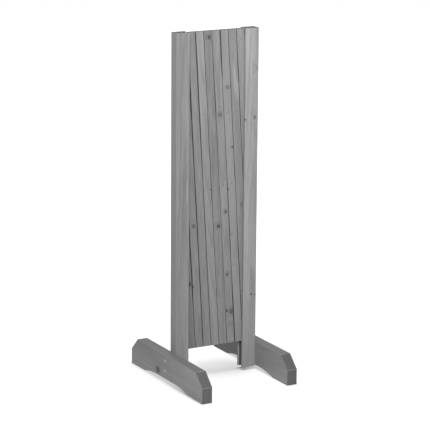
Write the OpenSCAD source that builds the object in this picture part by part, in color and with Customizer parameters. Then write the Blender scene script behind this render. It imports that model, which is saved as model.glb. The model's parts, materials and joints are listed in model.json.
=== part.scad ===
// Expandable trellis: two grooved posts on cross feet, joined by a riveted scissor lattice of slats.
// X runs along the trellis, Y runs from front to back and Z is up. The origin lies on the ground,
// in the middle of the rectangle that the two feet cover. The lattice is drawn closed up.

/* [Posts] */
// Width of a post, along the trellis
post_w = 42; // [38:1:60]
// Depth of a post, front to back
post_d = 32; // [27:0.5:45]
// Length of a post
post_len = 991; // [930:1:1200]
// Height of a post's lower end above the ground
post_lift = 9; // [5:1:30]

/* [Lattice] */
// Width of the widest slat
slat_w = 25; // [18:1:28]
// Thickness of a slat
slat_t = 5.5; // [4:0.5:7]
// Gap between neighbouring slats of one layer when the lattice is closed
side_gap = 0.85; // [0.5:0.05:2]
// Gap between the front and the back layer
layer_gap = 0.3; // [0.2:0.05:0.5]
// Distance between neighbouring rivets along a slat
pivot_pitch = 207; // [190:1:220]
// Slat left over above its top rivet
top_lap = 28; // [16:1:40]
// Slat left over below its bottom rivet
bottom_lap = 58; // [16:1:65]
// Distance of the top row of pivots below the posts' upper ends
top_drop = 29; // [20:1:50]
// Distance of the line of end pivots inside a post's inner face
pivot_inset = 15; // [14:0.5:20]
// Space between a rounded slat end and the floor of the post's groove
groove_end_gap = 1.5; // [0.5:0.1:3]
// Space between a rivet head and a side of the post's groove
groove_side_gap = 0.35; // [0.2:0.05:0.8]

/* [Rivets and pins] */
// Diameter of a rivet's shank and of a post pin
rivet_d = 3; // [2:0.1:4]
// Diameter of a rivet head
rivet_head_d = 4.5; // [4:0.1:8]
// Height of a rivet head
rivet_head_h = 1; // [0.6:0.1:1.6]
// Play between a rivet's clinched end and the back slat
rivet_play = 0.1; // [0.05:0.05:0.2]
// Diameter of a post pin's flat head
pin_head_d = 6.5; // [5:0.1:9]
// Thickness of a post pin's flat head
pin_head_t = 1.2; // [0.8:0.1:2]
// Depth to which a post pin enters the front side of its post
pin_bite = 6; // [3:0.5:6]
// Running clearance round a shank in its hole
run_gap = 0.05; // [0.02:0.01:0.1]

/* [Feet] */
// Thickness of a foot, along the trellis
foot_t = 32; // [20:0.5:40]
// Length of a foot, front to back
foot_len = 434; // [360:1:600]
// Height of a foot
foot_h = 82; // [74:1:87]
// Length of the cut corner, along the top of a foot
corner_run = 38; // [15:1:60]
// Drop of the cut corner, down the end of a foot
corner_drop = 37; // [15:1:60]
// Length of the flat pad under each end of a foot
pad_len = 82; // [40:1:90]
// Rise of the arch between the two pads
arch_rise = 11; // [6:0.5:14]
// Length of the curve at each end of the arch
arch_bend = 78; // [50:1:85]
// Distance of each foot off the middle: the left one to the front, the right one to the back
foot_stagger = 17.5; // [0:0.5:30]

/* [Foot screws] */
// Diameter of a screw's shank
screw_d = 4; // [3:0.1:5]
// Diameter of a screw's countersunk head
screw_head_d = 8; // [6.5:0.1:9]
// Height of a screw's conical head
screw_head_h = 2.6; // [2:0.1:3.5]
// Depth of a screw's head below the face of the foot
screw_sink = 0.8; // [0.2:0.1:2]
// Length of a screw inside the post
screw_bite = 20; // [12:0.5:30]
// Length of a screw's tapered point
screw_point = 5; // [3:0.5:8]
// Height of the lower screw above the ground
screw_low = 35; // [27:1:38]
// Distance between the two screws of a foot
screw_rise = 29; // [20:0.5:32]
// Length of an arm of the screw's cross recess, tip to tip
recess_span = 4; // [3:0.1:5]
// Width of an arm of the screw's cross recess
recess_w = 0.9; // [0.6:0.1:1.2]
// Depth of the screw's cross recess
recess_depth = 1.4; // [0.8:0.1:1.7]

/* [Hidden] */
$fn = 64;
arch_facets = 720;

// Colours of the stained wood and of the metal
post_colour = [0.60, 0.60, 0.59];
foot_colour = [0.48, 0.48, 0.48];
front_colour = [0.63, 0.63, 0.62];
back_colour = [0.52, 0.52, 0.52];
rivet_colour = [0.40, 0.40, 0.40];
screw_colour = [0.80, 0.74, 0.52];

// The lattice's pivots lie on a grid of rows, counted from the top, and of half pitches, counted from
// the left post. A pivot stands wherever row and half pitch add up to an even number.
rows = 5;
half_pitches = 16;
last_row = rows - 1;
slats = (half_pitches + last_row - 2) / 2;

// Lean of a slat in the closed lattice, where neighbouring slats lie side_gap apart
rest_angle = asin((slat_w + side_gap) / pivot_pitch) / 2;
half_pitch = pivot_pitch * sin(rest_angle);
row_height = pivot_pitch * cos(rest_angle);
pivot_span = half_pitches * half_pitch;
post_top = post_lift + post_len;
frame_w = pivot_span + 2 * (post_w - pivot_inset);

// Thickness of the riveted lattice and the size of the groove that it runs in
lattice_t = 2 * slat_t + layer_gap;
groove_w = lattice_t + 2 * (rivet_head_h + groove_side_gap);
groove_d = pivot_inset + slat_w / 2 + groove_end_gap;
hole_d = rivet_d + 2 * run_gap;
cut = 1;

// Planed slats differ a little in width, so some of the gaps in a layer are wider than others.
// The list runs from left to right in front, and from right to left at the back.
slat_width_shares = [0.99, 0.96, 0.955, 0.985, 1, 0.995, 0.975, 1, 0.96];

// The screws enter the thick side of the post's groove, off the middle of its depth
screw_offset = (post_d + groove_w) / 4;

function pivot_x(m) = m * half_pitch - pivot_span / 2;
function pivot_z(n) = post_top - top_drop - n * row_height;

// Two slats cross at a rivet wherever a front and a back slat both reach the pivot
function riveted(m, n) =
    m + n > 0 && m + n < half_pitches + last_row && m - n > -last_row && m - n < half_pitches;
function pinned(m, n) = n == 0 && (m == 0 || m == half_pitches);

// Row and half pitch of the top pivot of slat i, and the number of its pivots.
// Front slats run down to the right and back slats run down to the left.
function front_row(i) = max(0, last_row - 2 * i);
function front_step(i) = 2 * i - last_row + front_row(i);
function front_count(i) = min(last_row - front_row(i), half_pitches - front_step(i)) + 1;
function back_row(i) = max(0, 2 * i - half_pitches);
function back_step(i) = 2 * i - back_row(i);
function back_count(i) = min(last_row - back_row(i), back_step(i)) + 1;

// Grooved post on the left, or on the right when side is 1
module post(side) {
    outer_x = -frame_w / 2;
    mirror([max(side, 0), 0, 0])
        difference() {
            translate([outer_x, -post_d / 2, post_lift])
                cube([post_w, post_d, post_len]);
            translate([outer_x + post_w - groove_d, -groove_w / 2, post_lift - cut])
                cube([groove_d + cut, groove_w, post_len + 2 * cut]);
            translate([-pivot_span / 2, -groove_w / 2 - pin_bite - run_gap, pivot_z(0)])
                rotate([-90, 0, 0])
                    cylinder(d = hole_d, h = post_d);
            translate([-pivot_span / 2, post_d / 2 - pin_head_t - run_gap, pivot_z(0)])
                rotate([-90, 0, 0])
                    cylinder(d = pin_head_d + 2 * run_gap, h = pin_head_t + cut);
            for (z = [screw_low, screw_low + screw_rise])
                translate([outer_x - cut, side * screw_offset, z])
                    rotate([0, 90, 0])
                        cylinder(d = screw_d + 2 * run_gap, h = screw_bite + run_gap + cut);
        }
}

// Side view of a foot: cut top corners and, between two pads, a shallow arch with a flat middle
module foot_outline() {
    half_len = foot_len / 2;
    half_flat = half_len - pad_len - arch_bend;
    arch_r = (arch_bend * arch_bend + arch_rise * arch_rise) / (2 * arch_rise);
    difference() {
        polygon([
            [-half_len, 0],
            [half_len, 0],
            [half_len, foot_h - corner_drop],
            [half_len - corner_run, foot_h],
            [corner_run - half_len, foot_h],
            [-half_len, foot_h - corner_drop]
        ]);
        translate([-half_flat, -cut])
            square([2 * half_flat, arch_rise + cut]);
        for (end = [-1, 1])
            translate([end * half_flat, arch_rise - arch_r])
                circle(r = arch_r, $fn = arch_facets);
    }
}

// Foot on the outer face of a post, with two countersunk screw holes
module foot(side) {
    outer_x = -frame_w / 2 - foot_t;
    seat_d = screw_head_d + 2 * run_gap;
    way_d = screw_d + 2 * run_gap;
    mirror([max(side, 0), 0, 0])
        difference() {
            translate([outer_x, side * foot_stagger, 0])
                rotate([90, 0, 90])
                    linear_extrude(foot_t)
                        foot_outline();
            for (z = [screw_low, screw_low + screw_rise])
                translate([outer_x, side * screw_offset, z])
                    rotate([0, 90, 0]) {
                        translate([0, 0, -cut])
                            cylinder(d = seat_d, h = screw_sink + cut);
                        translate([0, 0, screw_sink])
                            cylinder(d1 = seat_d, d2 = way_d, h = screw_head_h);
                        cylinder(d = way_d, h = foot_t + cut);
                    }
        }
}

// One countersunk screw along +Z, with its head's face at the origin
module screw() {
    straight = foot_t - screw_sink + screw_bite - screw_point;
    difference() {
        union() {
            cylinder(d1 = screw_head_d, d2 = screw_d, h = screw_head_h);
            cylinder(d = screw_d, h = straight);
            translate([0, 0, straight])
                cylinder(d1 = screw_d, d2 = 0, h = screw_point);
        }
        for (turn = [0, 90])
            rotate(turn)
                translate([-recess_span / 2, -recess_w / 2, -cut])
                    cube([recess_span, recess_w, recess_depth + cut]);
    }
}

module foot_screws(side) {
    mirror([max(side, 0), 0, 0])
        for (z = [screw_low, screw_low + screw_rise])
            translate([screw_sink - frame_w / 2 - foot_t, side * screw_offset, z])
                rotate([0, 90, 0])
                    screw();
}

// Pin driven into a post from behind, across the groove, with its head flush in the back face
module post_pin(side) {
    pin_len = pin_bite + groove_w + (post_d - groove_w) / 2;
    translate([side * pivot_span / 2, post_d / 2, pivot_z(0)])
        rotate([90, 0, 0]) {
            cylinder(d = rivet_d, h = pin_len);
            cylinder(d = pin_head_d, h = pin_head_t);
        }
}

// Slat hanging from its top pivot at the origin. The pivots listed in holes are drilled.
// An end that turns inside a post's groove is rounded about its pivot. The others are cut level with
// the closed lattice's edge: side is 1 for a slat that leans down to the right and -1 for the other.
module slat(width, count, holes, side, top_rounded, bottom_rounded) {
    run = (count - 1) * pivot_pitch;
    above = top_rounded ? 0 : top_lap;
    below = bottom_rounded ? 0 : bottom_lap;
    level_cut = side * width / 2 * tan(rest_angle);
    top_cut = top_rounded ? 0 : level_cut;
    bottom_cut = bottom_rounded ? 0 : level_cut;
    rotate([90, 0, 0])
        linear_extrude(slat_t, center = true)
            difference() {
                union() {
                    polygon([
                        [-width / 2, above + top_cut],
                        [-width / 2, bottom_cut - run - below],
                        [width / 2, -run - below - bottom_cut],
                        [width / 2, above - top_cut]
                    ]);
                    if (top_rounded)
                        circle(d = width);
                    if (bottom_rounded)
                        translate([0, -run])
                            circle(d = width);
                }
                for (i = holes)
                    translate([0, -i * pivot_pitch])
                        circle(d = hole_d);
            }
}

module front_slat(i) {
    m = front_step(i);
    n = front_row(i);
    count = front_count(i);
    width = slat_w * slat_width_shares[i - 1];
    holes = [for (k = [0:count - 1]) if (riveted(m + k, n + k) || pinned(m + k, n + k)) k];
    color(front_colour)
        translate([pivot_x(m), -(slat_t + layer_gap) / 2, pivot_z(n)])
            rotate([0, -rest_angle, 0])
                slat(width, count, holes, 1, m == 0, m + count - 1 == half_pitches);
}

module back_slat(i) {
    m = back_step(i);
    n = back_row(i);
    count = back_count(i);
    width = slat_w * slat_width_shares[slats - i];
    holes = [for (k = [0:count - 1]) if (riveted(m - k, n + k) || pinned(m - k, n + k)) k];
    color(back_colour)
        translate([pivot_x(m), (slat_t + layer_gap) / 2, pivot_z(n)])
            rotate([0, rest_angle, 0])
                slat(width, count, holes, -1, m == half_pitches, m - count + 1 == 0);
}

// Low round head on the XY plane, rising along +Z
module round_head() {
    ball_r = (rivet_head_d * rivet_head_d / 4 + rivet_head_h * rivet_head_h) / (2 * rivet_head_h);
    intersection() {
        translate([0, 0, rivet_head_h - ball_r])
            sphere(r = ball_r);
        cylinder(d = rivet_head_d, h = rivet_head_h + cut);
    }
}

// Rivet through both layers, headed in front and clinched behind
module rivet() {
    rotate([90, 0, 0]) {
        translate([0, 0, -lattice_t / 2 - rivet_play])
            cylinder(d = rivet_d, h = lattice_t + rivet_play);
        translate([0, 0, lattice_t / 2])
            round_head();
        translate([0, 0, -lattice_t / 2 - rivet_play])
            mirror([0, 0, 1])
                round_head();
    }
}

// The rivets that turn with front slat i
module rivets(i) {
    m = front_step(i);
    n = front_row(i);
    color(rivet_colour)
        for (k = [0:front_count(i) - 1])
            if (riveted(m + k, n + k))
                translate([pivot_x(m + k), 0, pivot_z(n + k)])
                    rivet();
}

module left_post() {
    color(post_colour) post(-1);
}

module right_post() {
    color(post_colour) post(1);
}

module left_foot() {
    color(foot_colour) foot(-1);
}

module right_foot() {
    color(foot_colour) foot(1);
}

module left_foot_screws() {
    color(screw_colour) foot_screws(-1);
}

module right_foot_screws() {
    color(screw_colour) foot_screws(1);
}

module left_post_pin() {
    color(rivet_colour) post_pin(-1);
}

module right_post_pin() {
    color(rivet_colour) post_pin(1);
}

left_post();
right_post();
left_foot();
right_foot();
left_foot_screws();
right_foot_screws();
left_post_pin();
right_post_pin();
for (i = [1:slats]) front_slat(i);
for (i = [1:slats]) back_slat(i);
for (i = [1:slats]) rivets(i);
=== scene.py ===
import json
import math
import random

import bmesh
import bpy
from mathutils import Matrix, Vector


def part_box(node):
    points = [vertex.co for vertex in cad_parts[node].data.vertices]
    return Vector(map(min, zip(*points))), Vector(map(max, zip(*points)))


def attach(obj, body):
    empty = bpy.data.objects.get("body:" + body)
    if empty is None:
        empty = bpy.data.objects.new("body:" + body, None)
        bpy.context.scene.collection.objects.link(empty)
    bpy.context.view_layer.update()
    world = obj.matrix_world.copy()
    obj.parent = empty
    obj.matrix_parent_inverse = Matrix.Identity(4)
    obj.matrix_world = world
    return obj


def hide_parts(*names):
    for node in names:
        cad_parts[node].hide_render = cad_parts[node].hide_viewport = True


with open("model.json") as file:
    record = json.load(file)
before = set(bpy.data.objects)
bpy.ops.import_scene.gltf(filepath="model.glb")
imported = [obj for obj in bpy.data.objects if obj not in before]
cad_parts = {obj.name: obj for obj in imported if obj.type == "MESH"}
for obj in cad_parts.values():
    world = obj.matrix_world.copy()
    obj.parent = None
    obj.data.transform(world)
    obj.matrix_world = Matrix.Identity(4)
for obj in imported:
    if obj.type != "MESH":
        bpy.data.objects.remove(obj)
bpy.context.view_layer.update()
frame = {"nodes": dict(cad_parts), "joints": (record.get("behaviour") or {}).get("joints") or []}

# Posts
# Two planed fir uprights under a neutral grey stain, a groove milled down the whole inner face of
# each. Their arrises are eased by hand and have worn paler. The sawn ends have drunk more of the
# stain. The groove and its mouth are darkened as painted shade, and so are the posts' lower parts.
post_ease = 0.0012
groove_width = 0.014
groove_depth = 0.029
groove_painted_shade = 0.93
rim_painted_shade = 0.5
pin_head_depth = 0.00125
recess_play = 0.00005
cutter_overrun = 0.001
cutter_steps = 48
arris_margin = 0.0016
ease_steps = 3
least_cut = 0.2
corner_turn = math.radians(25)


def inset(outline, depth):
    """The outline with each of its sides moved inward by depth."""
    moved = []
    for i, here in enumerate(outline):
        arriving = (here - outline[i - 1]).normalized()
        leaving = (outline[(i + 1) % len(outline)] - here).normalized()
        inward = Vector((-arriving.y - leaving.y, arriving.x + leaving.x))
        moved.append(here + inward * depth / (1 + arriving.dot(leaving)))
    return moved


def sharp_corners(outline):
    """The places where an outline turns outward by more than a gentle curve does."""
    found = set()
    for i, here in enumerate(outline):
        arriving = here - outline[i - 1]
        leaving = outline[(i + 1) % len(outline)] - here
        if math.atan2(arriving.cross(leaving), arriving.dot(leaving)) > corner_turn:
            found.add(i)
    return found


def eased(outline, corners, cut, stretch):
    """Points and wear round an outline, each corner softened inside two flat stretches."""
    ring = []
    for i, here in enumerate(outline):
        if i not in corners:
            ring.append((here, 0.0))
            continue
        back = (outline[i - 1] - here).normalized()
        onward = (outline[(i + 1) % len(outline)] - here).normalized()
        ring.append((here + back * stretch, 0.0))
        for step in range(ease_steps + 1):
            t = step / ease_steps
            ring.append((here + back * cut * (1 - t) ** 2 + onward * cut * t ** 2, 1.0))
        ring.append((here + onward * stretch, 0.0))
    return ring


def carried(outline, thickness, ease):
    """Mesh of an outline in XY carried up Z, its outward arrises eased and marked as worn."""
    corners = sharp_corners(outline)
    flat = ease + arris_margin
    turns = [math.radians(90) * step / ease_steps for step in range(ease_steps + 1)]
    lower = [(flat, 0.0, 0.0)]
    lower += [(ease * (1 - math.sin(turn)), ease * (1 - math.cos(turn)), 1.0) for turn in turns]
    lower += [(0.0, flat, 0.0)]
    upper = [(depth, thickness - height, wear) for depth, height, wear in reversed(lower)]
    mesh = bmesh.new()
    worn = mesh.verts.layers.float.new("arris")
    rings = []
    for depth, height, wear in lower + upper:
        cut = max(ease - depth, least_cut * ease)
        stretch = max(flat - depth, 2 * cut)
        ring = []
        for point, corner_wear in eased(inset(outline, depth), corners, cut, stretch):
            vertex = mesh.verts.new((point.x, point.y, height))
            vertex[worn] = 0.0 if depth == flat else max(wear, corner_wear)
            ring.append(vertex)
        rings.append(ring)
    for below, above in zip(rings, rings[1:]):
        for i in range(len(below)):
            mesh.faces.new((below[i - 1], below[i], above[i], above[i - 1]))
    mesh.faces.new(reversed(rings[0]))
    mesh.faces.new(rings[-1])
    return mesh


def turned(*rings):
    """A round cutter about one line, through rings of (radius, centre)."""
    mesh = bmesh.new()
    axis = (rings[-1][1] - rings[0][1]).to_track_quat("Z", "Y")
    turns = [math.tau * step / cutter_steps for step in range(cutter_steps)]
    hoops = []
    for radius, centre in rings:
        spokes = [Vector((radius * math.cos(turn), radius * math.sin(turn), 0)) for turn in turns]
        hoops.append([mesh.verts.new(centre + axis @ spoke) for spoke in spokes])
    for first, second in zip(hoops, hoops[1:]):
        for i in range(cutter_steps):
            mesh.faces.new((first[i - 1], first[i], second[i], second[i - 1]))
    mesh.faces.new(reversed(hoops[0]))
    mesh.faces.new(hoops[-1])
    return mesh


def as_object(name, mesh):
    """A scene object that holds the finished mesh."""
    data = bpy.data.meshes.new(name)
    mesh.to_mesh(data)
    mesh.free()
    made = bpy.data.objects.new(name, data)
    bpy.context.scene.collection.objects.link(made)
    return made


def drilled(mesh, cutters):
    """The mesh with the cutters' shapes taken out of it."""
    blank = as_object("blank", mesh)
    tools = [as_object("cutter", cutter) for cutter in cutters]
    for tool in tools:
        bore = blank.modifiers.new("bore", "BOOLEAN")
        bore.operation = "DIFFERENCE"
        bore.solver = "EXACT"
        bore.object = tool
    seen = blank.evaluated_get(bpy.context.evaluated_depsgraph_get())
    shaped = bmesh.new()
    shaped.from_mesh(seen.to_mesh())
    seen.to_mesh_clear()
    for used in [blank] + tools:
        bpy.data.objects.remove(used)
    return shaped


def extent(points):
    """Lowest and highest corner of the box round some points."""
    spread = list(zip(*points))
    return Vector(map(min, spread)), Vector(map(max, spread))


def measured(node, placement):
    """Lowest and highest corner of a CAD node in a board's own frame."""
    home = placement.inverted()
    return extent(home @ vertex.co for vertex in frame["nodes"][node].data.vertices)


# A knot marks the board's mesh for this many radii along, where it shows, and has no size in a
# narrow hem beyond that. A pale streak is a knot with a negative radius.
knot_show = 6
streak_show = 16
knot_hem = 0.1
hem_slack = 0.01
no_knot = Vector((1, 1, 0))
same_place = 1e-7
end_stain = 1.3


def knot_reach(radius):
    """How far along a board a knot or a pale streak still shows."""
    return knot_show * radius if radius > 0 else -streak_show * radius


def grown(mesh, pith, lean, start, knots, stain_and_painted_shade, ripped_and_painted_shade=0.0):
    """Gives a board along Z its place in the log, knots, sawn faces, stain and painted shade.

    pith is where the log's heart lies beside the board's middle, lean is how it runs off along
    the board, and start is how far up the log the board begins.
    A knot is (along, across, radius, depth of its colour). stain is how pale the four corners are
    made, low left, low right, high left and high right, by the stain and as painted shade. The ends
    are sawn across the grain, and ripped is how dark the two edges are made, for a rough saw cut and
    as painted shade.
    """
    low, high = extent(vertex.co for vertex in mesh.verts)
    knots = sorted(knots)
    for along, _, radius, _ in knots:
        reach = knot_reach(radius)
        hem = (1 + knot_hem) * reach
        for cut in (along - hem, along - reach, along + reach, along + hem):
            parts = mesh.verts[:] + mesh.edges[:] + mesh.faces[:]
            bmesh.ops.bisect_plane(
                mesh, geom=parts, plane_co=(0, 0, cut), plane_no=(0, 0, 1), dist=same_place)
    log = mesh.verts.layers.float_vector.new("log")
    channels = [mesh.verts.layers.float_vector.new(name) for name in ("knot_a", "knot_b")]
    depths = [mesh.verts.layers.float.new(name) for name in ("depth_a", "depth_b")]
    paleness = mesh.verts.layers.float.new("paleness")
    for vertex in mesh.verts:
        x, y, z = vertex.co
        vertex[log] = Vector((x - pith[0] - lean[0] * z, y - pith[1] - lean[1] * z, z + start))
        rightward = (x - low.x) / (high.x - low.x)
        upward = (z - low.z) / (high.z - low.z)
        foot = stain_and_painted_shade[0] + (stain_and_painted_shade[1] - stain_and_painted_shade[0]) * rightward
        head = stain_and_painted_shade[2] + (stain_and_painted_shade[3] - stain_and_painted_shade[2]) * rightward
        vertex[paleness] = foot + (head - foot) * upward
        for index, channel in enumerate(channels):
            vertex[channel] = no_knot
            for along, across, radius, depth in knots[index::len(channels)]:
                off = abs(z - along) / knot_reach(radius)
                if off < 1 + knot_hem + hem_slack:
                    shown = radius if off < 1 + hem_slack else 0
                    vertex[channel] = Vector((x - across, z - along, shown))
                    vertex[depths[index]] = depth
    sawn_and_painted_shade = mesh.loops.layers.float.new("sawn_and_painted_shade")
    mesh.normal_update()
    for face in mesh.faces:
        face.smooth = True
        for loop in face.loops:
            loop[sawn_and_painted_shade] = max(min(1, end_stain * abs(face.normal.z)), ripped_and_painted_shade * abs(face.normal.x))


def feed(tree, socket, value):
    """Gives a socket a plain value, or links it to another node's output."""
    if isinstance(value, bpy.types.NodeSocket):
        tree.links.new(value, socket)
    else:
        socket.default_value = value


def maths(tree, operation, *values):
    """Output of a Math node."""
    made = tree.nodes.new("ShaderNodeMath")
    made.operation = operation
    for socket, value in zip(made.inputs, values):
        feed(tree, socket, value)
    return made.outputs[0]


def times(tree, first, second):
    """One value multiplied by another."""
    return maths(tree, "MULTIPLY", first, second)


def plus(tree, base, extra, share):
    """A value with a share of another one added to it."""
    return maths(tree, "MULTIPLY_ADD", extra, share, base)


def length(tree, first, second):
    """Length of a step with these two parts."""
    return maths(tree, "SQRT", maths(
        tree, "ADD", maths(tree, "POWER", first, 2), maths(tree, "POWER", second, 2)))


def parts_of(tree, vector):
    """The three parts of a vector."""
    made = tree.nodes.new("ShaderNodeSeparateXYZ")
    feed(tree, made.inputs[0], vector)
    return made.outputs[0], made.outputs[1], made.outputs[2]


def grain_noise(tree, place, across, along, detail):
    """Smooth noise round 0, with so many waves in a metre across the grain and along it."""
    stretch = tree.nodes.new("ShaderNodeVectorMath")
    stretch.operation = "MULTIPLY"
    feed(tree, stretch.inputs[0], place)
    feed(tree, stretch.inputs[1], (across, across, along))
    noise = tree.nodes.new("ShaderNodeTexNoise")
    feed(tree, noise.inputs["Vector"], stretch.outputs[0])
    noise.inputs["Scale"].default_value = 1
    noise.inputs["Detail"].default_value = detail
    return maths(tree, "SUBTRACT", noise.outputs["Fac"], 0.5)


def eased_step(tree, value, low, high, from_value=0.0, to_value=1.0):
    """A soft step from one value to another while the input goes from low to high."""
    made = tree.nodes.new("ShaderNodeMapRange")
    made.interpolation_type = "SMOOTHSTEP"
    for name, given in (("Value", value), ("From Min", low), ("From Max", high),
                        ("To Min", from_value), ("To Max", to_value)):
        feed(tree, made.inputs[name], given)
    return made.outputs["Result"]


def mixed(tree, share, first, second, blend="MIX"):
    """Mix of two colours."""
    made = tree.nodes.new("ShaderNodeMix")
    made.data_type = "RGBA"
    made.blend_type = blend
    feed(tree, made.inputs["Factor"], share)
    feed(tree, made.inputs[6], first)
    feed(tree, made.inputs[7], second)
    return made.outputs[2]


def effect(name, inputs, outputs):
    """An empty shader node group, with the sockets of its two ends by name."""
    tree = bpy.data.node_groups.new(name, "ShaderNodeTree")
    for socket, kind in inputs.items():
        tree.interface.new_socket(socket, in_out="INPUT", socket_type="NodeSocket" + kind)
    for socket in outputs:
        tree.interface.new_socket(socket, in_out="OUTPUT", socket_type="NodeSocketFloat")
    given = tree.nodes.new("NodeGroupInput").outputs
    result = tree.nodes.new("NodeGroupOutput").inputs
    return tree, given, result


def placed(tree, group, **sockets):
    """A group placed in a material or another group, with its sockets fed."""
    made = tree.nodes.new("ShaderNodeGroup")
    made.node_tree = group
    for name, value in sockets.items():
        feed(tree, made.inputs[name.replace("_", " ")], value)
    return made.outputs


def read(tree, name):
    """The attribute node of that name."""
    made = tree.nodes.new("ShaderNodeAttribute")
    made.attribute_name = name
    return made.outputs


# A knot is measured in its own radii. It is squashed along the board and ragged, with rings of its
# own and a halo that swells the grain round it. A streak is measured in its half width.
knot_squash = 0.85
knot_rings = 2.4
ring_contrast = 0.25
halo_fall = -0.32
streak_length = 12
least_size = 1e-6

knot_effect, given, result = effect(
    "Knot", {"Knot": "Vector", "Depth": "Float", "Log": "Vector"},
    ["Swell", "Core", "Halo", "Streak"])
across, along, radius = parts_of(knot_effect, given["Knot"])
ragged = grain_noise(knot_effect, given["Log"], across=260, along=160, detail=2)
size = maths(knot_effect, "MAXIMUM", radius, least_size)
away = length(knot_effect, across, times(knot_effect, along, knot_squash))
away = plus(knot_effect, maths(knot_effect, "DIVIDE", away, size), ragged, share=0.55)
halo = times(knot_effect, maths(knot_effect, "POWER", away, 2), halo_fall)
halo = maths(knot_effect, "EXPONENT", halo)
feed(knot_effect, result["Halo"], times(knot_effect, halo, given["Depth"]))
feed(knot_effect, result["Swell"], times(knot_effect, halo, size))
core = times(knot_effect, eased_step(knot_effect, away, low=1.4, high=0.45), given["Depth"])
rings = maths(knot_effect, "PINGPONG", times(knot_effect, away, knot_rings), 1)
rings = plus(knot_effect, 1 - ring_contrast, rings, share=ring_contrast)
feed(knot_effect, result["Core"], times(knot_effect, core, rings))
streak_size = maths(knot_effect, "MAXIMUM", times(knot_effect, radius, -1), least_size)
streak_along = maths(knot_effect, "DIVIDE", along, times(knot_effect, streak_size, streak_length))
streak_across = maths(knot_effect, "DIVIDE", across, streak_size)
streak_across = plus(knot_effect, streak_across, ragged, share=0.5)
away = length(knot_effect, streak_along, streak_across)
streak = eased_step(knot_effect, away, low=1.1, high=0.5)
feed(knot_effect, result["Streak"], times(knot_effect, streak, given["Depth"]))

softwood, given, result = effect(
    "Sawn softwood", {"Log": "Vector", "Knot A": "Vector", "Depth A": "Float", "Knot B": "Vector",
                      "Depth B": "Float", "Ring Width": "Float"},
    ["Latewood", "Fibre", "Cloud", "Knot", "Halo", "Streak", "Height"])
log = given["Log"]
first = placed(softwood, knot_effect, Knot=given["Knot A"], Depth=given["Depth A"], Log=log)
second = placed(softwood, knot_effect, Knot=given["Knot B"], Depth=given["Depth B"], Log=log)
knot = maths(softwood, "MAXIMUM", first["Core"], second["Core"])
swell = maths(softwood, "ADD", first["Swell"], second["Swell"])
log_x, log_y = parts_of(softwood, log)[:2]
from_heart = length(softwood, log_x, log_y)
wander = grain_noise(softwood, log, across=22, along=4.5, detail=2)
from_heart = plus(softwood, from_heart, wander, share=0.0035)
from_heart = plus(softwood, from_heart, swell, share=-0.7)
slow_growth = grain_noise(softwood, log, across=60, along=1.2, detail=1)
ring = maths(softwood, "DIVIDE", from_heart, given["Ring Width"])
ring = plus(softwood, ring, slow_growth, share=1.6)
season = maths(softwood, "FRACT", ring)
latewood = times(softwood, eased_step(softwood, season, low=0.4, high=0.88),
                 eased_step(softwood, season, low=1.0, high=0.93))
fibre = grain_noise(softwood, log, across=420, along=9, detail=3)
fine_fibre = grain_noise(softwood, log, across=1500, along=30, detail=2)
fibre = plus(softwood, fibre, fine_fibre, share=0.6)
cloud = grain_noise(softwood, log, across=48, along=2.6, detail=3)
fine_cloud = grain_noise(softwood, log, across=120, along=22, detail=3)
cloud = plus(softwood, cloud, fine_cloud, share=0.5)
height = plus(softwood, 0, fibre, share=1.1)
height = plus(softwood, height, latewood, share=0.6)
height = plus(softwood, height, knot, share=0.8)
for name, value in {"Latewood": latewood, "Fibre": fibre, "Cloud": cloud, "Knot": knot,
                    "Height": height}.items():
    feed(softwood, result[name], value)
for name in ("Halo", "Streak"):
    feed(softwood, result[name], maths(softwood, "MAXIMUM", first[name], second[name]))

usual_wear = 0.55
wear_effect, given, result = effect("Worn arris", {"Arris": "Float", "Log": "Vector"}, ["Wear"])
patches = grain_noise(wear_effect, given["Log"], across=90, along=30, detail=3)
worn = plus(wear_effect, usual_wear, patches, share=1.8)
worn = times(wear_effect, eased_step(wear_effect, worn, low=0.2, high=0.9), given["Arris"])
feed(wear_effect, result["Wear"], worn)


def shade(level):
    """Colour of a neutral grey that shows on a screen as this level, from 0 to 255."""
    part = level / 255
    linear = part / 12.92 if part <= 0.04045 else ((part + 0.055) / 1.055) ** 2.4
    return (linear, linear, linear, 1)


def new_finish(name):
    """An empty material, with its node tree and its surface."""
    material = bpy.data.materials.new(name)
    material.use_nodes = True
    return material, material.node_tree, material.node_tree.nodes["Principled BSDF"]


def relief(tree, surface, height, strength, rise):
    """Gives a surface fine bumps."""
    bump = tree.nodes.new("ShaderNodeBump")
    bump.inputs["Strength"].default_value = strength
    bump.inputs["Distance"].default_value = rise
    feed(tree, bump.inputs["Height"], height)
    feed(tree, surface.inputs["Normal"], bump.outputs["Normal"])


streak_cover = 0.75
streak_lift = 24
sawn_and_shade_spread = 1.5
sawn_and_shade_late_drop = 14
wear_cover = 0.6
wood_roughness = 0.66
wood_gloss = 0.35


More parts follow.
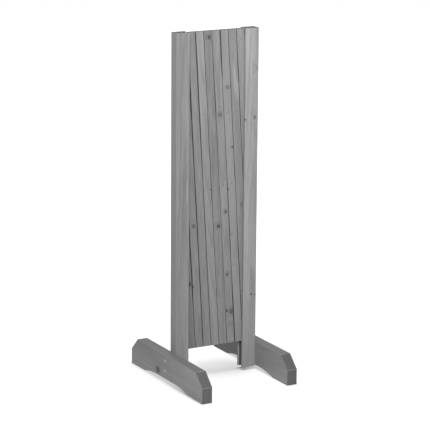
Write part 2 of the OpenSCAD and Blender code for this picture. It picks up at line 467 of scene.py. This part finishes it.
def stained_wood(name, body, late, knot, sawn_and_painted_shade, arris, ring_width):
    """Grey stained fir, by the levels of early and late wood, knots, arrises, and sawn faces and
    painted shade.
    """
    material, tree, surface = new_finish(name)
    log = read(tree, "log")["Vector"]
    wood = placed(tree, softwood, Log=log, Ring_Width=ring_width,
                  Knot_A=read(tree, "knot_a")["Vector"], Depth_A=read(tree, "depth_a")["Fac"],
                  Knot_B=read(tree, "knot_b")["Vector"], Depth_B=read(tree, "depth_b")["Fac"])
    wear = placed(tree, wear_effect, Arris=read(tree, "arris")["Fac"], Log=log)["Wear"]
    colour = mixed(tree, wood["Latewood"], shade(body), shade(late))
    streak = times(tree, wood["Streak"], streak_cover)
    colour = mixed(tree, streak, colour, shade(body + streak_lift))
    depth = plus(tree, 1, wood["Fibre"], share=0.45)
    depth = plus(tree, depth, wood["Cloud"], share=0.5)
    depth = plus(tree, depth, wood["Halo"], share=-0.12)
    depth = times(tree, depth, read(tree, "paleness")["Fac"])
    colour = mixed(tree, 1.0, colour, depth, "MULTIPLY")
    colour = mixed(tree, wood["Knot"], colour, shade(knot))
    sawn_and_shade_cover = maths(tree, "POWER", read(tree, "sawn_and_painted_shade")["Fac"], sawn_and_shade_spread)
    sawn_and_shade_colour = mixed(tree, wood["Latewood"], shade(sawn_and_painted_shade), shade(sawn_and_painted_shade - sawn_and_shade_late_drop))
    colour = mixed(tree, sawn_and_shade_cover, colour, sawn_and_shade_colour)
    colour = mixed(tree, times(tree, wear, wear_cover), colour, shade(arris))
    feed(tree, surface.inputs["Base Color"], colour)
    roughness = plus(tree, wood_roughness, wood["Latewood"], share=-0.12)
    roughness = plus(tree, roughness, sawn_and_shade_cover, share=0.2)
    roughness = plus(tree, roughness, wood["Fibre"], share=0.3)
    feed(tree, surface.inputs["Roughness"], roughness)
    surface.inputs["Specular IOR Level"].default_value = wood_gloss
    relief(tree, surface, wood["Height"], strength=0.55, rise=0.0004)
    return material


def board(node, body, material, mesh, placement):
    """Puts a finished board where its CAD node is, on the node's body."""
    bmesh.ops.transform(mesh, matrix=placement, verts=mesh.verts)
    piece = as_object(node + "_board", mesh)
    piece.data.materials.append(material)
    piece.modifiers.new("flat faces", "WEIGHTED_NORMAL").keep_sharp = False
    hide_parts(node)
    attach(piece, body)


post_wood = stained_wood("post wood", body=150, late=139, knot=84, sawn_and_painted_shade=80, arris=148,
                         ring_width=0.0027)
# Knots are (height above the post's foot, distance from its middle, radius, depth of colour).
# Stain is paleness at the low left, low right, high left and high right. It makes the posts darker
# toward their feet as painted shade, most on the right post's side by the lattice, which is made far
# paler at the top.
post_growth = {
    "left_post": dict(groove_side=1, pith=(0.006, 0.034), lean=(0.004, 0.006), start=0.3,
                      stain_and_painted_shade=(0.88, 0.94, 0.95, 0.99),
                      knots=[(0.543, 0.014, -0.003, 0.8)]),
    "right_post": dict(groove_side=-1, pith=(0.012, 0.052), lean=(-0.007, 0.009), start=2.1,
                       stain_and_painted_shade=(1.18, 1.12, 1.6, 1.1),
                       knots=[(0.876, 0.0165, 0.0055, 0.4), (0.736, 0.011, 0.0055, 0.6),
                              (0.731, -0.0195, 0.0026, 1.0), (0.218, 0.005, 0.0034, 1.0),
                              (0.215, 0.018, 0.0030, 1.0)]),
}
for post, growth in post_growth.items():
    side = growth["groove_side"]
    low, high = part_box(post)
    placement = Matrix.Translation(((low.x + high.x) / 2, (low.y + high.y) / 2, low.z))
    low, high = measured(post, placement)
    cheek = groove_width / 2
    mouth = high.x
    groove_floor = mouth - groove_depth
    outline = [Vector((side * x, y)) for x, y in (
        (-mouth, low.y), (mouth, low.y), (mouth, -cheek), (groove_floor, -cheek),
        (groove_floor, cheek), (mouth, cheek), (mouth, high.y), (-mouth, high.y))]
    if side < 0:
        outline.reverse()
    upright = carried(outline, high.z - low.z, post_ease)
    pin_low, pin_high = measured(post + "_pin", placement)
    pin_centre = (pin_low + pin_high) / 2
    recess_radius = (pin_high.x - pin_low.x) / 2 + recess_play
    upright = drilled(upright, [turned(*(
        (recess_radius, Vector((pin_centre.x, y, pin_centre.z)))
        for y in (pin_high.y - pin_head_depth, pin_high.y + cutter_overrun)))])
    grown(upright, growth["pith"], growth["lean"], growth["start"], growth["knots"],
          growth["stain_and_painted_shade"])
    sawn_and_painted_shade = upright.loops.layers.float["sawn_and_painted_shade"]
    # The groove's faces and those at its mouth are darkened as painted shade, in the recess and at
    # the joint with the lattice.
    for face in upright.faces:
        middle = face.calc_center_median()
        inner = middle.x * side
        in_groove = abs(middle.y) < cheek + recess_play and inner > groove_floor - recess_play
        if in_groove or inner > mouth - recess_play:
            for loop in face.loops:
                loop[sawn_and_painted_shade] = groove_painted_shade if in_groove else rim_painted_shade
    board(post, post, post_wood, upright, placement)

# Feet
# A cross foot under each post, sawn from the same fir, with cut top corners and a shallow arch
# between two pads. The post is screwed to its inner face. The stain is darker, above all on the sawn
# faces. The tops, corner cuts and screw holes are darkened further as painted shade, and so is the
# rear behind the lattice.
foot_ease = 0.0014
corner_run = 0.038
corner_drop = 0.037
pad_length = 0.082
arch_rise = 0.011
arch_bend = 0.078
arch_steps = 16
screw_head_radius = 0.004
screw_shank_radius = 0.002
screw_sink = 0.0008
screw_head_height = 0.0026
corner_grain = 0.4
end_grain = 0.95
end_sawn_and_shade = 0.9

foot_wood = stained_wood("foot wood", body=151, late=138, knot=70, sawn_and_painted_shade=98, arris=134,
                         ring_width=0.0034)
# Knots are (distance behind the foot's middle, height above the ground, radius, depth of colour).
# Stain is paleness at the front low, front top, rear low and rear top. Where the rear is darker,
# behind the lattice, it is painted shade.
foot_growth = {
    "left_foot": dict(pith=(-0.02, 0.075), lean=(0.05, 0.02), start=4.2, outer_side=-1,
                      stain_and_painted_shade=(1.15, 1.27, 1.12, 0.74),
                      knots=[(0.049, 0.026, 0.0105, 1.0)]),
    "right_foot": dict(pith=(0.11, -0.05), lean=(-0.03, -0.02), start=5.7, outer_side=1,
                       stain_and_painted_shade=(1.12, 1.00, 0.76, 0.68),
                       knots=[(0.12, 0.06, 0.003, 0.7)]),
}
along_y = Matrix(((0, 1, 0, 0), (0, 0, 1, 0), (1, 0, 0, 0), (0, 0, 0, 1)))
arch_radius = (arch_bend ** 2 + arch_rise ** 2) / (2 * arch_rise)
arch_swing = math.asin(arch_bend / arch_radius)
for foot, growth in foot_growth.items():
    side = growth["outer_side"]
    low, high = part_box(foot)
    placement = Matrix.Translation(((low.x + high.x) / 2, (low.y + high.y) / 2, 0)) @ along_y
    low, high = measured(foot, placement)
    half_flat = high.z - pad_length - arch_bend
    bend = []
    for step in range(arch_steps + 1):
        turn = arch_swing * step / arch_steps
        bend.append((half_flat + arch_radius * math.sin(turn),
                     arch_rise - arch_radius * (1 - math.cos(turn))))
    arch = [(-reach, height) for reach, height in reversed(bend)] + bend
    outline = [(low.z, 0), *arch, (high.z, 0), (high.z, high.x - corner_drop),
               (high.z - corner_run, high.x), (low.z + corner_run, high.x),
               (low.z, high.x - corner_drop)]
    plank = carried([Vector(point) for point in outline], high.y - low.y, foot_ease)
    stand = Matrix.Translation((0, low.y, 0)) @ along_y
    bmesh.ops.transform(plank, matrix=stand, verts=plank.verts)
    screw_low, screw_high = measured(foot + "_screws", placement)
    screw_line = (screw_low.z + screw_high.z) / 2
    inward = Vector((0, -side, 0))
    wide, narrow = screw_head_radius + recess_play, screw_shank_radius + recess_play
    sinks = []
    for height in (screw_low.x + screw_head_radius, screw_high.x - screw_head_radius):
        mouth = Vector((height, side * high.y, screw_line))
        seat = mouth + inward * screw_sink
        throat = seat + inward * screw_head_height
        bore = throat + inward * screw_head_height
        outside = mouth - inward * cutter_overrun
        sinks.append(turned((wide, outside), (wide, seat), (narrow, throat), (narrow, bore)))
    plank = drilled(plank, sinks)
    # The ripped top faces are made darker as painted shade, against the light from above.
    grown(plank, growth["pith"], growth["lean"], growth["start"], growth["knots"],
          growth["stain_and_painted_shade"], ripped_and_painted_shade=0.85)
    # The corner cuts are made fully dark, darker than the sawn ends, as painted shade where they face
    # up toward the lamps. The walls of the screw holes are made dark as painted shade in the holes.
    sawn_and_painted_shade = plank.loops.layers.float["sawn_and_painted_shade"]
    for face in plank.faces:
        across_grain = abs(face.normal.z)
        centre = face.calc_center_median()
        in_seat = abs(centre.z - screw_line) < wide and abs(centre.y) < high.y - recess_play
        if in_seat or across_grain > corner_grain:
            for loop in face.loops:
                loop[sawn_and_painted_shade] = 1.0 if in_seat or across_grain < end_grain else end_sawn_and_shade
    board(foot, foot.replace("foot", "post"), foot_wood, plank, placement)

# Lattice slats
# Eighteen thin fir slats in two layers, the front ones leaning down to the right, the back ones to
# the left. Ripped and planed, they differ a little in width, tone and grain, as do the gaps. Part of
# the tone is painted shade, and the ripped edges and the back slats are darkened as painted shade in
# the gaps. The ends that turn in the posts' grooves are rounded, and the others level in the closed
# lattice.
slat_ease = 0.0004
round_steps = 18
slat_count = 9
grooved_slats = 2
last_row = 4

joint_at = {joint["name"]: Vector(joint["pos_m"]) for joint in frame["joints"]}
lattice_corner = joint_at["trellis_spread"]
pivot_step = joint_at["rivet_1_row_2"] - lattice_corner
slat_lean = math.atan2(pivot_step.x, -pivot_step.z)
half_pitches = round((joint_at["right_post_pin"] - lattice_corner).x / pivot_step.x)


def shy(edge, height):
    """How far a slat's edge stays back at a height, from (height, depth) pairs that go up."""
    if not edge or not edge[0][0] <= height <= edge[-1][0]:
        return 0.0
    for (under, first), (over, second) in zip(edge, edge[1:]):
        if height <= over:
            return first + (second - first) * (height - under) / (over - under)


def slat_outline(low, high, side, round_top, round_bottom, left_edge, right_edge):
    """Face of a slat, with level ends, or round ones where it turns about its end pivot."""
    half = high.x
    slope = 2 * half * math.tan(slat_lean)
    right_drop, left_drop = (slope, 0) if side > 0 else (0, slope)
    below = [(shy(left_edge, low.z) - half, low.z + right_drop),
             (half - shy(right_edge, low.z), low.z + left_drop)]
    above = [(half - shy(right_edge, high.z), high.z - right_drop),
             (shy(left_edge, high.z) - half, high.z - left_drop)]
    turns = [math.pi * step / round_steps for step in range(round_steps + 1)]
    if round_bottom:
        below = [(-half * math.cos(turn), low.z + half - half * math.sin(turn)) for turn in turns]
    if round_top:
        above = [(half * math.cos(turn), high.z - half + half * math.sin(turn)) for turn in turns]
    clear = 2 * half
    first, last = low.z + clear, high.z - clear
    rising = [(half - back, height) for height, back in right_edge if first < height < last]
    falling = [(back - half, height) for height, back in left_edge if first < height < last]
    return [Vector(point) for point in below + rising + above + falling[::-1]]


def slat(node, material, side, top_step, top_row, ends, growth, left_gap=(), right_gap=()):
    """A slat hung from its top pivot, leaning down to the right (side 1) or the left (-1)."""
    pivot = lattice_corner + Vector((top_step * pivot_step.x, 0, top_row * pivot_step.z))
    edges = [[((height - pivot.z) / math.cos(slat_lean), width / 2) for height, width in gap]
             for gap in (left_gap, right_gap)]
    placement = Matrix.Translation(pivot) @ Matrix.Rotation(-side * slat_lean, 4, "Y")
    low, high = measured(node, placement)
    strip = carried(slat_outline(low, high, side, *ends, *edges), high.y - low.y, slat_ease)
    stand = Matrix.Translation((0, high.y, 0)) @ Matrix.Rotation(math.radians(90), 4, "X")
    bmesh.ops.transform(strip, matrix=stand, verts=strip.verts)
    knots = [(-down, *knot) for down, *knot in growth["knots"]]
    # The ripped edges are made dark as painted shade in the gaps between the slats.
    grown(strip, growth["pith"], growth["lean"], growth["start"], knots, growth["stain_and_painted_shade"],
          ripped_and_painted_shade=0.9)
    board(node, node, material, strip, placement)


heart_aside = 0.02
heart_nearest = 0.012
heart_furthest = 0.07
lean_aside = 0.008
lean_deep = 0.016
log_run = 40


def drawn_growth(draws, knots, low_stain_and_shade, high_stain_and_shade):
    """Grain drawn by chance for one slat, with the paleness given for its two ends."""
    pith = (draws.uniform(-heart_aside, heart_aside),
            draws.choice((-1, 1)) * draws.uniform(heart_nearest, heart_furthest))
    lean = (draws.uniform(-lean_aside, lean_aside), draws.uniform(-lean_deep, lean_deep))
    return dict(pith=pith, lean=lean, start=draws.uniform(0, log_run), knots=knots,
                stain_and_painted_shade=(low_stain_and_shade, low_stain_and_shade, high_stain_and_shade, high_stain_and_shade))


# The sawn level is very dark. The ends are sawn, and the ripped edges take this level as painted
# shade in the gaps.
front_slat_wood = stained_wood("front slat wood", body=146, late=135, knot=64, sawn_and_painted_shade=60, arris=144,
                               ring_width=0.0024)
# Knots are (distance below the slat's top pivot row, distance right of its middle, radius, depth of
# colour).
front_knots = {
    1: [(0.281, 0.006, 0.0062, 1.0)],
    2: [(0.526, 0.002, 0.0052, 0.75), (0.703, -0.009, 0.0032, 0.7)],
    3: [(0.066, 0.0, -0.0018, 0.5), (0.180, 0.001, -0.0022, 0.6), (0.375, 0.002, -0.0026, 0.5),
        (0.448, 0.003, -0.0022, 0.5), (0.620, 0.001, -0.0024, 0.5), (0.716, 0.002, -0.0022, 0.4),
        (0.802, 0.003, -0.0024, 0.4)],
    4: [(0.426, 0.011, 0.0026, 0.8)],
    5: [(-0.010, 0.0035, 0.0060, 0.85), (0.003, 0.011, 0.003, 0.5), (0.205, -0.002, -0.0022, 0.7),
        (0.243, 0.004, -0.0028, 0.9), (0.535, 0.0035, 0.0062, 0.9), (0.705, -0.002, -0.0022, 0.5)],
    6: [(0.212, 0.0, 0.0070, 0.55), (0.495, 0.003, 0.0048, 0.85), (0.680, -0.002, 0.0046, 0.8),
        (0.788, -0.010, 0.0046, 1.0), (0.793, 0.007, 0.0085, 0.75)],
    7: [(0.136, 0.0015, 0.0056, 0.5), (0.309, 0.009, 0.0034, 0.8), (0.430, -0.0105, 0.003, 0.7),
        (0.563, -0.0065, 0.0028, 0.6), (0.653, -0.007, 0.0016, 0.6)],
    8: [(0.118, 0.001, -0.0048, 1.0), (0.145, 0.0085, -0.0034, 1.0), (0.480, 0.0045, 0.006, 0.35)],
    9: [],
}
# Stain is (paleness at the slat's foot, paleness at its head). It is partly painted shade: the
# slats are darker toward the left post, in its shadow, and most are darker at their feet.
front_stain_and_shade = {1: (0.66, 0.84), 2: (0.88, 0.88), 3: (0.92, 0.97), 4: (0.98, 1.2), 5: (0.95, 0.82),
               6: (1.02, 1.05), 7: (1.14, 1.16), 8: (1.06, 1.0), 9: (1.1, 1.2)}
# A gap between a slat and the next one to the right is (height above the ground, how much wider than
# usual), in millimetres.
front_gaps = {
    1: [(200, 0), (240, 1.5), (290, 3.2), (340, 1.9), (390, 1.9), (440, 1.7), (520, 1.0),
        (560, 0)],
    2: [(90, 0.6), (200, 0.5), (300, 0.3), (400, 0.5), (440, 1.2), (490, 1.3), (560, 0.5), (640, 1.1),
        (690, 1.4), (740, 2.4), (790, 2.6), (840, 3.0), (900, 1.4), (930, 0)],
    3: [(420, 0), (440, 0.4), (500, 0.2), (600, 0), (640, 0.6), (740, 1.1), (840, 1.9), (890, 2.4),
        (940, 3.2), (985, 0.6), (1001, 0.8)],
    4: [(100, 0), (140, 0.6), (180, 0), (500, 0), (540, 0.6), (590, 0.7), (640, 0.5), (740, 0.3),
        (800, 0), (890, 0.3), (1001, 0.4)],
    5: [(80, 0.9), (140, 0.7), (190, 0), (700, 0), (740, 0.5), (790, 1.5), (840, 0.7), (890, 0.8),
        (940, 0)],
    6: [(80, 1.6), (140, 2.0), (190, 2.5), (240, 1.2), (290, 0), (340, 0.5), (390, 1.1), (540, 0.8),
        (590, 0), (850, 0), (890, 1.8), (940, 2.4), (1001, 2.9)],
    7: [(340, 1.3), (390, 0.9), (440, 0.5), (490, 0), (540, 0.1), (590, 1.1), (640, 0.5), (740, 0.4),
        (800, 0), (840, 0.6), (880, 0)],
    8: [(700, 0), (740, 0.5), (790, 0.4), (840, 0), (890, 1.1), (940, 0.1), (985, 0.3),
        (1001, 0.3)],
}
front_gaps = {i: [(height / 1000, width / 1000) for height, width in gap]
              for i, gap in front_gaps.items()}
grain_seed = 23
draws = random.Random(grain_seed)
for i in range(1, slat_count + 1):
    top_row = max(0, last_row - 2 * i)
    top_step = 2 * i - last_row + top_row
    growth = drawn_growth(draws, front_knots[i], *front_stain_and_shade[i])
    ends = (i <= grooved_slats, i > slat_count - grooved_slats)
    slat(f"front_slat_{i}", front_slat_wood, 1, top_step, top_row, ends, growth,
         front_gaps.get(i - 1, ()), front_gaps.get(i, ()))

# The back slats are stained darker than the front ones, as painted shade where they show through the
# gaps.
back_slat_wood = stained_wood("back slat wood", body=132, late=122, knot=72, sawn_and_painted_shade=60, arris=128,
                              ring_width=0.0026)
# A back slat's knots are drawn between these: along, across, radius and depth of colour.
back_knot_ranges = ((0.03, 0.8), (-0.009, 0.009), (0.002, 0.005), (0.4, 0.9))
most_back_knots = 3
back_stain = (0.92, 1.05)
for i in range(1, slat_count + 1):
    top_row = max(0, 2 * i - half_pitches)
    top_step = 2 * i - top_row
    knots = [tuple(draws.uniform(*reach) for reach in back_knot_ranges)
             for _ in range(draws.randint(0, most_back_knots))]
    growth = drawn_growth(draws, knots, draws.uniform(*back_stain), draws.uniform(*back_stain))
    ends = (i > slat_count - grooved_slats, i <= grooved_slats)
    slat(f"back_slat_{i}", back_slat_wood, -1, top_step, top_row, ends, growth)

# Fasteners
# A low-headed rivet through every crossing, stained over with the wood. Yellow zinc plated
# countersunk screws hold the feet, and a bright steel pin hangs the lattice from each post.
patch_scale = 700
rub_edge = 0.12


def plated(name, colour, dull_colour, metallic, roughness):
    """Metal with a patchy, slightly rubbed finish."""
    material, tree, surface = new_finish(name)
    place = tree.nodes.new("ShaderNodeTexCoord").outputs["Object"]
    patches = grain_noise(tree, place, across=patch_scale, along=patch_scale, detail=3)
    rubbed = eased_step(tree, patches, -rub_edge, rub_edge)
    feed(tree, surface.inputs["Base Color"], mixed(tree, rubbed, (*dull_colour, 1), (*colour, 1)))
    surface.inputs["Metallic"].default_value = metallic
    feed(tree, surface.inputs["Roughness"], plus(tree, roughness, rubbed, share=-0.15))
    relief(tree, surface, patches, strength=0.3, rise=0.0001)
    return material


finishes = {
    "rivets": plated("stained rivet", (0.26, 0.26, 0.26), (0.19, 0.19, 0.19),
                     metallic=0.0, roughness=0.7),
    "screws": plated("yellow zinc", (0.98, 0.92, 0.68), (0.80, 0.70, 0.44),
                     metallic=0.3, roughness=0.45),
    "pin": plated("bright steel", (0.56, 0.56, 0.56), (0.36, 0.36, 0.37),
                  metallic=1.0, roughness=0.4),
}
for name, piece in frame["nodes"].items():
    for kind, finish in finishes.items():
        if kind in name:
            piece.data.materials.clear()
            piece.data.materials.append(finish)

# Floor, light and camera
# A white floor that keeps the trellis's own soft shadow. A large soft lamp stands in front on the
# left, a weaker one behind and two above, one of which lights only the floor. The view is the
# photograph's.
camera_place = Vector((-2.8369, -5.1522, 1.8818))
camera_heading = 28.862
camera_drop = 13.497
camera_roll = 0.431
camera_lens = 178.52
film_width = 36
floor_size = 12.0
shade_x = 0.045
shade_y = 0.04
# The floor's paleness and glow are (distance from the shade's middle, value): under the lattice,
# between the feet, at their pads, beside them and far off.
floor_paleness = ((0.045, 0.82), (0.115, 0.43), (0.2, 0.43), (0.28, 0.63))
floor_glow = ((0.045, 0.06), (0.115, 0.55), (0.2, 0.55), (0.28, 0.3), (2.2, 1.0))
bounce_paleness = 0.2
room_light = 0.42
white = (1, 1, 1, 1)


def seen_directly(tree):
    """1 for what the camera sees, also in gloss or through glass, and 0 for light on the object."""
    rays = tree.nodes.new("ShaderNodeLightPath").outputs
    seen = maths(tree, "MAXIMUM", rays["Is Camera Ray"], rays["Is Glossy Ray"])
    return maths(tree, "MAXIMUM", seen, rays["Is Transmission Ray"])


def eased_steps(tree, value, stops):
    """A value that eases from each of the (input, value) stops to the next one."""
    total = stops[0][1]
    for (low, start), (high, end) in zip(stops, stops[1:]):
        total = maths(tree, "ADD", eased_step(tree, value, low, high, 0, end - start), total)
    return total


mesh = bmesh.new()
bmesh.ops.create_grid(mesh, x_segments=1, y_segments=1, size=floor_size / 2)
ground = as_object("floor", mesh)
floor_material, tree, surface = new_finish("pale floor")
seen = seen_directly(tree)
surface.inputs["Roughness"].default_value = 0.9
surface.inputs["Specular IOR Level"].default_value = 0.0
surface.inputs["Emission Color"].default_value = white
floor_x, floor_y = parts_of(tree, tree.nodes.new("ShaderNodeTexCoord").outputs["Object"])[:2]
away = length(tree, maths(tree, "SUBTRACT", floor_x, shade_x),
              maths(tree, "SUBTRACT", floor_y, shade_y))
paleness = eased_step(tree, seen, 0, 1, bounce_paleness, eased_steps(tree, away, floor_paleness))
glow = times(tree, seen, eased_steps(tree, away, floor_glow))
feed(tree, surface.inputs["Base Color"], mixed(tree, 1.0, white, paleness, "MULTIPLY"))
feed(tree, surface.inputs["Emission Strength"], glow)
ground.data.materials.append(floor_material)

world = bpy.data.worlds.new("studio")
bpy.context.scene.world = world
world.use_nodes = True
tree = world.node_tree
backdrop = tree.nodes["Background"]
backdrop.inputs["Color"].default_value = white
brightness = eased_step(tree, seen_directly(tree), 0, 1, room_light, 1.0)
feed(tree, backdrop.inputs["Strength"], brightness)


def soft_lamp(name, place, target, width, power, floor_link):
    """A square soft box turned to a target, which lights the floor alone or all but the floor."""
    lamp = bpy.data.lights.new(name, "AREA")
    lamp.shape = "SQUARE"
    lamp.size = width
    lamp.energy = power
    made = bpy.data.objects.new(name, lamp)
    made.location = place
    made.rotation_euler = (Vector(target) - Vector(place)).to_track_quat("-Z", "Y").to_euler()
    bpy.context.scene.collection.objects.link(made)
    receivers = bpy.data.collections.new("floor of the " + name)
    receivers.objects.link(ground)
    made.light_linking.receiver_collection = receivers
    receivers.collection_objects[0].light_linking.link_state = floor_link
    return made


soft_lamp("front lamp", place=(-1.2, -2.0, 1.95), target=(0, 0, 0.8), width=1.2, power=58,
          floor_link="EXCLUDE")
rear_lamp = soft_lamp("rear lamp", place=(1.0, 2.3, 1.3), target=(0, 0, 0.6), width=1.2, power=44,
                      floor_link="EXCLUDE")
rear_lamp.visible_glossy = False
soft_lamp("top lamp", place=(0.0, 0.1, 2.4), target=(0, 0, 0.5), width=1.8, power=11,
          floor_link="EXCLUDE")
soft_lamp("floor lamp", place=(0.0, -0.05, 2.4), target=(0, 0, 0), width=0.6, power=58,
          floor_link="INCLUDE")

camera = bpy.data.objects.new("camera", bpy.data.cameras.new("camera"))
bpy.context.scene.collection.objects.link(camera)
bpy.context.scene.camera = camera
camera.data.sensor_width = film_width
camera.data.lens = camera_lens
aim = Matrix.Rotation(math.radians(-camera_heading), 4, "Z") @ Matrix.Rotation(
    math.radians(90 - camera_drop), 4, "X") @ Matrix.Rotation(math.radians(camera_roll), 4, "Z")
camera.matrix_world = Matrix.Translation(camera_place) @ aim

bpy.context.scene.view_settings.view_transform = "Standard"
bpy.context.view_layer.update()
